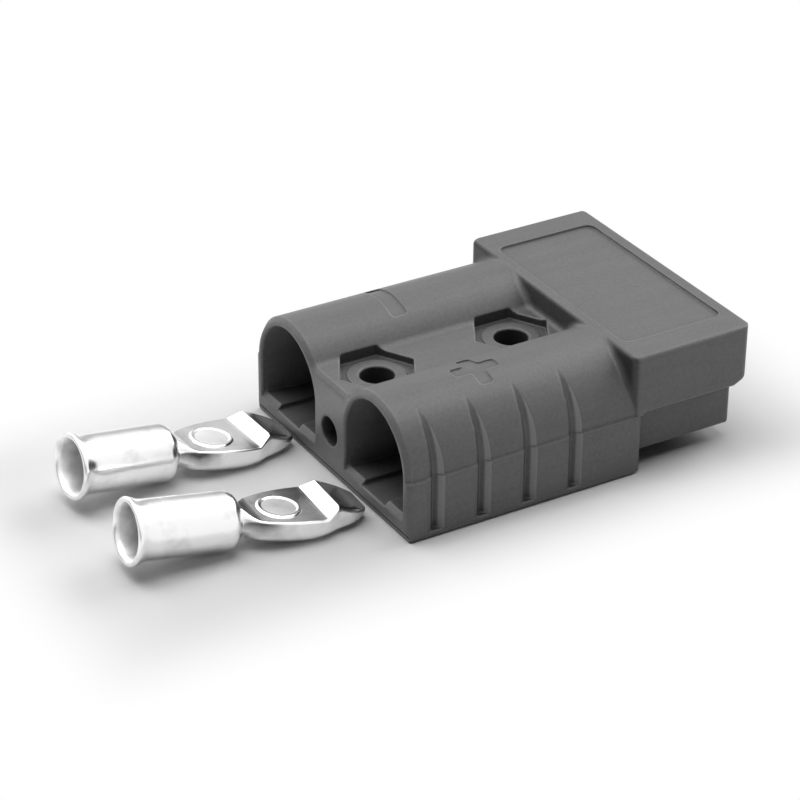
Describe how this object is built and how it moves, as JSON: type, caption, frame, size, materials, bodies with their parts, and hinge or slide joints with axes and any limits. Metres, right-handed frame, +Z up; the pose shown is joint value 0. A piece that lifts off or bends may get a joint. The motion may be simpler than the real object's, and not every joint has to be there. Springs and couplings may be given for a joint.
{
  "type": "genderless power connector",
  "caption": "Genderless power connector housing with arched cable channels, a hooded mating end, nut pockets and grip grooves, with its loose crimp contacts and leaf springs.",
  "frame": {"origin": "on the base plane, midway between the two mounting holes", "axes": "+X towards the mating end, +Z up from the base, the plus pole at -Y"},
  "size_m": [0.0785, 0.0364, 0.0158],
  "materials": {
    "housing_plastic": "fine moulded grain",
    "contact_plating": "bright silver plating on copper",
    "spring_steel": "rolled stainless strip"
  },
  "bodies": {
    "root": {"housing": "housing_plastic", "contact_near": "contact_plating", "contact_far": "contact_plating", "spring_near": "spring_steel", "spring_far": "spring_steel"}
  },
  "joints": []
}
